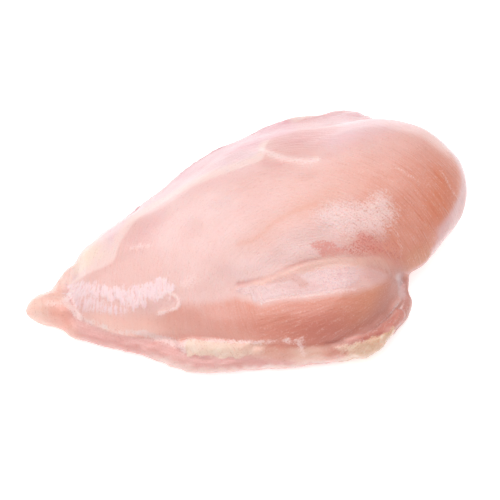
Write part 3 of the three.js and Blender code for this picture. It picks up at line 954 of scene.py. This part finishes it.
# %% A wire of the shader graph
class Wire:
    """An output socket that can be reckoned with like a number."""

    def __init__(self, tree, socket):
        self.tree = tree
        self.socket = socket

    def make(self, kind, settings, inputs, output=0):
        """One output of a new node, whose inputs are numbers or other wires."""
        node = self.tree.nodes.new(kind)
        for name, value in settings.items():
            setattr(node, name, value)
        for name, value in inputs.items():
            if isinstance(value, Wire):
                self.tree.links.new(value.socket, node.inputs[name])
            else:
                node.inputs[name].default_value = value
        return Wire(self.tree, node.outputs[output])

    def math(self, operation, *values):
        return self.make("ShaderNodeMath", {"operation": operation}, dict(enumerate(values)))

    def __add__(self, other):
        return self.math("ADD", self, other)

    def __radd__(self, other):
        return self.math("ADD", other, self)

    def __sub__(self, other):
        return self.math("SUBTRACT", self, other)

    def __rsub__(self, other):
        return self.math("SUBTRACT", other, self)

    def __mul__(self, other):
        return self.math("MULTIPLY", self, other)

    def __rmul__(self, other):
        return self.math("MULTIPLY", other, self)

    def limited(self):
        """Kept between 0 and 1."""
        return self.make("ShaderNodeClamp", {}, {"Value": self})

    def step(self, start, end):
        """0 at start, 1 at end and a soft slope between them."""
        return self.make("ShaderNodeMapRange", {"interpolation_type": "SMOOTHSTEP"},
                         {"Value": self, "From Min": start, "From Max": end})

    def blend(self, first, second):
        """The first colour where this is 0 and the second where it is 1."""
        # The mix node has sockets for each kind of value: 6, 7 and output 2 are for colours.
        return self.make("ShaderNodeMix", {"data_type": "RGBA"}, {0: self, 6: first, 7: second}, 2)

    def scaled(self, factors):
        """A direction times three factors."""
        return self.make("ShaderNodeVectorMath", {"operation": "MULTIPLY"}, {0: self, 1: factors})

    def noise(self, scale, detail):
        """Noise of about 0.5 at the place that this gives."""
        return self.make("ShaderNodeTexNoise", {}, {"Vector": self, "Scale": scale, "Detail": detail})


def colour(red, green, blue):
    """A colour of the photo's 0 to 255 scale, made linear."""
    made = []
    for part in (red, green, blue):
        share = part / 255
        made.append(share / 12.92 if share <= 0.04045 else ((share + 0.055) / 1.055) ** 2.4)
    return (*made, 1.0)


# %% [markdown]
# ## Wet meat
#
# Raw chicken scatters light a few millimetres deep and is covered by a film of juice. The
# subsurface part gives the soft depth, a clear coat gives the juice, and the colour is layered
# from the plain pink outwards: warm where the muscle is thick and bare, red where it is
# bruised, pale where a membrane lies over it, cream where there is fat. Shade is painted into
# some creases and hollows, light into others, and highlights onto the wet places.

# %% Material
material = bpy.data.materials.new("raw_meat")
material.use_nodes = True
tree = material.node_tree
shader = tree.nodes["Principled BSDF"]
start = Wire(tree, shader.outputs[0])
place = start.make("ShaderNodeTexCoord", {}, {}, "Object")


def mark(name):
    """One of the marks that the vertices keep."""
    return start.make("ShaderNodeAttribute", {"attribute_name": name}, {}, "Fac")


def grain(name):
    """One of their grains, as a place for noise."""
    return start.make("ShaderNodeAttribute", {"attribute_name": name}, {}, "Vector")


def fibre_noise(along, across, detail):
    """Noise drawn out along the fibres of the dome, the lobe and the flap."""
    factors = (along, across, 1)
    dome, lobe, flap = [grain("grain_" + name).scaled(factors).noise(1.0, detail)
                        for name in ("dome", "lobe", "flap")]
    upper = dome + (lobe - dome) * mark("lobe").limited()
    return upper + (flap - upper) * mark("flap")


# %% [markdown]
# ## Fibres, dots and lumps
#
# Muscle is a bundle of long fibres, so its noise is slow along them and quick across. Fine
# fibres and small dots together give the speckle of wet meat. Broad streaks, a faint mottle and
# the lumps of the fat are slower. All are tied to the meat, so they stay put from every side.

# %% Noise of the finish
fine = fibre_noise(0.16, 1.9, 3)
broad = fibre_noise(0.05, 0.5, 2)
hairs = fibre_noise(0.38, 1.9, 0)
folds = grain("grain_folds").scaled((0.3, 0.95, 1)).noise(1.0, 2)
dots = place.noise(1500, 1)
mottle = place.noise(70, 2)
lumps = place.noise(300, 3)
speckle = 2.2 * (dots - 0.5) + 1.6 * (fine - 0.5)

# %% Amounts of each tint
def ragged(name, roughening, low, high):
    """A mark with a broken edge, kept to the places where the mark is."""
    amount = mark(name)
    return (amount + roughening).step(low, high) * amount.step(0, 0.25)


terrace = ragged("terrace", 0.5 * speckle, 0.15, 0.9)
lines = ragged("lines", 0.4 * speckle, 0.15, 0.95)
fat = ragged("fat", 1.2 * (lumps - 0.5) + 0.3 * speckle, 0.1, 0.95)
gloss_highlight = ragged("gloss_highlight", 0.6 * speckle, 0.1, 1.1)
glints = mark("glint") * hairs.step(0.48, 0.62)
red = (mark("red") * (1 + 2.6 * (dots - 0.5)) + 0.5 * speckle).step(0.25, 1.0)
membrane_and_highlight = (mark("membrane_and_highlight") * (1.0 + 3.0 * (folds - 0.5)) + 0.25 * speckle).step(0.25, 0.9)
shoulder = (mark("shoulder") + 0.5 * (broad - 0.5) * mark("shoulder")).limited()
warm = (mark("warm") + 0.6 * (broad - 0.5) * mark("warm")).limited()
bare = (shoulder + 0.4 * warm * mark("lobe").limited()).limited()
pale_hairs = hairs.step(0.68, 0.8) * shoulder
fleshy = (bare + mark("flap") + mark("nub") + fat).limited()
print("nodes before the tints:", len(tree.nodes))

# %% [markdown]
# ## Layers of colour
#
# A painter would start with plain pink and glaze the rest over it, and so do these tints. Each
# is an amount and a colour that is laid over all those before it: first the bare muscle, then
# the blood and the painted shade and light of the creases, the films and the fat, and last the
# wet speckle with its painted glints.

# %% A list of tints
tints = []


def tint(amount, red, green, blue):
    """One more tint, with its colour on the photo's scale."""
    tints.append((amount, colour(red, green, blue)))


# %% Tints of the dome and the far side
# Pale mottle and pale meat, with painted light in the valley over the front lobe
tint(0.35 * mottle.step(0.35, 0.65) + 0.55 * mark("pale_and_valley_light"), 241, 203, 199)
tint(0.8 * mark("top"), 238, 199, 204)
# Flushed pink, and painted shade in the hollow in front of the tendon
tint(0.65 * mark("flush_and_shade"), 226, 164, 163)
# Painted shade along the shallow fold, and darker over the middle of the shoulder
tint(0.45 * mark("fold"), 230, 168, 150)
tint(mark("by_band") * 0.4, 242, 204, 204)
tint(mark("band") * 0.85, 246, 216, 210)
tint(mark("outer_band") * 0.7, 236, 198, 204)
tint(mark("far_pink") * 0.85, 225, 162, 172)
# Painted shade where the far flank turns down
tint(mark("far_flank_shade"), 204, 140, 148)

# %% Tints of the tip, the shoulder and the lobe
tint(mark("nub") * 0.85, 242, 193, 178)
tint(mark("bean") * 0.65, 241, 169, 154)
# The pale tip, and painted light on the saddle behind the nub
tint(mark("tip_and_saddle_light") * 0.7, 252, 213, 199)
tint(shoulder, 219, 134, 106)
tint(warm, 225, 150, 131)
tint(mark("deep"), 202, 122, 106)
tint(mark("amber") * 0.6, 212, 142, 108)
tint(0.3 * bare * fine.step(0.52, 0.68), 233, 166, 140)
tint(0.3 * bare * fine.step(0.48, 0.32), 202, 112, 84)
# Painted light on the steep front wall of the left half
tint(mark("wall_light") * 0.95, 252, 200, 187)

# %% Tints of the flap and of wet and red places
tint(mark("flap"), 230, 173, 167)
tint(mark("flap") * broad.step(0.45, 0.7) * 0.4, 219, 158, 148)
# Painted highlight on the wet patch
tint(gloss_highlight * 0.78, 243, 209, 206)
tint(red * 0.7, 224, 139, 127)
tint(mark("spots") * dots.step(0.52, 0.62) * 0.6, 200, 100, 88)
tint(mark("edge") * 0.7, 244, 216, 208)

# %% Tints of the creases, with painted shade and painted light in them
# Painted shade in the crease over the lobe
tint(mark("crease_shade").limited() * 0.6, 218, 146, 138)
tint(mark("peach") * 0.6, 243, 195, 179)
tint(mark("end_film") * 0.85, 200, 136, 124)
tint(mark("top_film") * 0.5, 214, 160, 154)
# Painted light in the groove between the lobe and the flap
tint(mark("groove_light") * 0.85, 232, 170, 158)
tint(mark("fat_shadow") * 0.7, 172, 92, 82)

# %% Tints of films and fat
fat_colour = mark("yellow").blend(colour(242, 214, 196), colour(224, 186, 154))
film_colour = broad.step(0.3, 0.5).blend(colour(226, 183, 181), colour(235, 201, 201))
tint(mark("cream") * 0.7, 246, 222, 202)
# The film on top of the lobe, partly its own colour and partly a painted highlight
tints.append((terrace * 0.7, film_colour))
tint(mark("wedge") * 0.7, 220, 165, 155)
# Painted reflection of the white table on the shoulder's turned-down rim
tint(mark("rim_reflection") * 0.75, 225, 184, 186)
tint(mark("notch") * 0.75, 236, 202, 202)
# The pale membrane, partly its own colour and partly a painted highlight
tint(membrane_and_highlight * 0.78, 249, 220, 224)
tints.append((fat * 0.85, fat_colour))
# Painted highlights on the tops of the fat's lumps
tint(fat * lumps.step(0.5, 0.7) * 0.4, 250, 230, 216)
tint(mark("roll") * 0.75, 230, 176, 160)
tint(mark("beige") * 0.6, 238, 198, 182)
# Pale films and lines, partly painted highlights
tint(lines * 0.75, 250, 220, 216)

# %% Tints of the wet speckle, partly painted sparkle
# Pale fibre strokes on the shoulder, and painted glints
tint(pale_hairs * 0.24 + glints * 0.5, 246, 214, 206)
tint(mark("specks") * dots.step(0.56, 0.66) * 0.5, 200, 150, 160)
# Pale speckle, partly the meat's own and partly painted sparkle of the wet film
tint(speckle.step(0.1, 0.8) * (0.24 + 0.08 * fleshy), 244, 212, 206)
tint(speckle.step(-0.1, -0.8) * (0.2 + 0.16 * fleshy), 198, 120, 104)

# %% Lay the tints over the plain meat
skin_colour = colour(234, 187, 180)
for amount, shade in tints:
    skin_colour = amount.blend(skin_colour, shade)
print("tints:", len(tints))
tree.links.new(skin_colour.socket, shader.inputs["Base Color"])

# %% [markdown]
# ## Gloss and bumps
#
# Films and wet patches are smoother than bare fibres, so the roughness falls where they are.
# Fibres, dots and lumps are finer than the mesh, so they are a bump and not geometry. The light
# that goes in comes out again nearby, red from deepest, which the subsurface radius says.

# %% Gloss and bumps
roughness = 0.36 + 0.12 * speckle - 0.08 * gloss_highlight - 0.06 * (lines + terrace).limited()
tree.links.new(roughness.limited().socket, shader.inputs["Roughness"])

BUMP_METRES = 0.0005
height = 0.7 * fine + 0.3 * broad + 0.4 * dots * (terrace + gloss_highlight + 0.5) + 0.6 * lumps * fat
height = height + 1.2 * folds * mark("membrane_and_highlight") + 0.25 * pale_hairs
bump = start.make("ShaderNodeBump", {}, {"Height": height, "Strength": 0.75, "Distance": BUMP_METRES})
tree.links.new(bump.socket, shader.inputs["Normal"])
print("nodes in all:", len(tree.nodes))

# %% Depth, juice and bloom
WET_MEAT = {
    "Subsurface Weight": 0.3,
    "Subsurface Radius": (1.0, 0.4, 0.28),
    "Subsurface Scale": 0.004,
    "IOR": 1.4,
    "Coat Weight": 0.5,
    "Coat Roughness": 0.16,
    "Sheen Weight": 0.25,
    "Sheen Roughness": 0.4,
    "Sheen Tint": (1.0, 0.9, 0.95, 1),
}
shader.subsurface_method = "RANDOM_WALK"
for name, value in WET_MEAT.items():
    shader.inputs[name].default_value = value
mesh.materials.append(material)

# %% [markdown]
# ## Table
#
# The table is plain and nearly white, and so large that its edge is never seen. Under one lamp
# it would turn grey, and more lamps would show in the wet meat, so it has a faint glow instead.

# %% Table
TABLE_SIZE = 6
TABLE_WHITE = 0.92
TABLE_GLOW = 0.5
bpy.ops.mesh.primitive_plane_add(size=TABLE_SIZE, location=(0, 0, 0))
floor = bpy.context.object
floor.name = "floor"
floor_material = bpy.data.materials.new("white_table")
floor_material.use_nodes = True
floor_shader = floor_material.node_tree.nodes["Principled BSDF"]
floor_shader.inputs["Base Color"].default_value = (TABLE_WHITE, TABLE_WHITE, TABLE_WHITE, 1)
floor_shader.inputs["Roughness"].default_value = 0.7
floor_shader.inputs["Emission Color"].default_value = (1, 1, 1, 1)
floor_shader.inputs["Emission Strength"].default_value = TABLE_GLOW
floor.data.materials.append(floor_material)

# %% [markdown]
# ## Light
#
# Wet meat mirrors a small lamp as a hard spot and looks like plastic. One large round softbox
# above it gives broad shines and a soft shadow, and an evenly pale world fills the dark sides,
# as white walls would.

# %% Light
WORLD_STRENGTH = 0.4
SOFTBOX_WIDTH = 1.6
SOFTBOX_WATTS = 12.2
SOFTBOX_PLACE = Vector((-0.12, 0.15, 1.05))

world = bpy.data.worlds.new("studio")
bpy.context.scene.world = world
world.use_nodes = True
background = world.node_tree.nodes["Background"]
background.inputs["Color"].default_value = (1, 1, 1, 1)
background.inputs["Strength"].default_value = WORLD_STRENGTH

softbox = bpy.data.lights.new("overhead", "AREA")
softbox.shape = "DISK"
softbox.size = SOFTBOX_WIDTH
softbox.energy = SOFTBOX_WATTS
lamp = bpy.data.objects.new("overhead", softbox)
bpy.context.collection.objects.link(lamp)
lamp.location = SOFTBOX_PLACE
lamp.rotation_euler = (-SOFTBOX_PLACE).to_track_quat("-Z", "Y").to_euler()
print("softbox from the meat in m:", round(SOFTBOX_PLACE.length, 2))

# %% [markdown]
# ## Camera
#
# The photo looks steeply down from the front, a little from the left. The angles and the
# distance were fitted to the outline and the folds. The focal length is in pixels of the photo,
# and the width of the sensor turns it into millimetres of a lens.

# %% Camera
ELEVATION = math.radians(58)
AZIMUTH = math.radians(-24)
DISTANCE = 0.65
# The camera looks at a place inside the meat, in mm of the field and its height in m.
LOOK_X = 1
LOOK_Y = -2.3
LOOK_HEIGHT = 0.0185
FOCAL_PIXELS = 1651
PHOTO_WIDTH = 500
SENSOR_MM = 36

target = Vector(((LOOK_X + shift[0]) / MM, (LOOK_Y + shift[1]) / MM, LOOK_HEIGHT))
level = math.cos(ELEVATION)
back = Vector((math.sin(AZIMUTH) * level, -math.cos(AZIMUTH) * level, math.sin(ELEVATION)))
lens = bpy.data.cameras.new("photo_camera")
lens.sensor_width = SENSOR_MM
lens.lens = FOCAL_PIXELS / PHOTO_WIDTH * lens.sensor_width
camera = bpy.data.objects.new("photo_camera", lens)
bpy.context.collection.objects.link(camera)
camera.location = target + DISTANCE * back
camera.rotation_euler = (-back).to_track_quat("-Z", "Y").to_euler()
bpy.context.scene.camera = camera
bpy.context.scene.view_settings.view_transform = "Standard"
print("lens in mm:", round(lens.lens, 1))
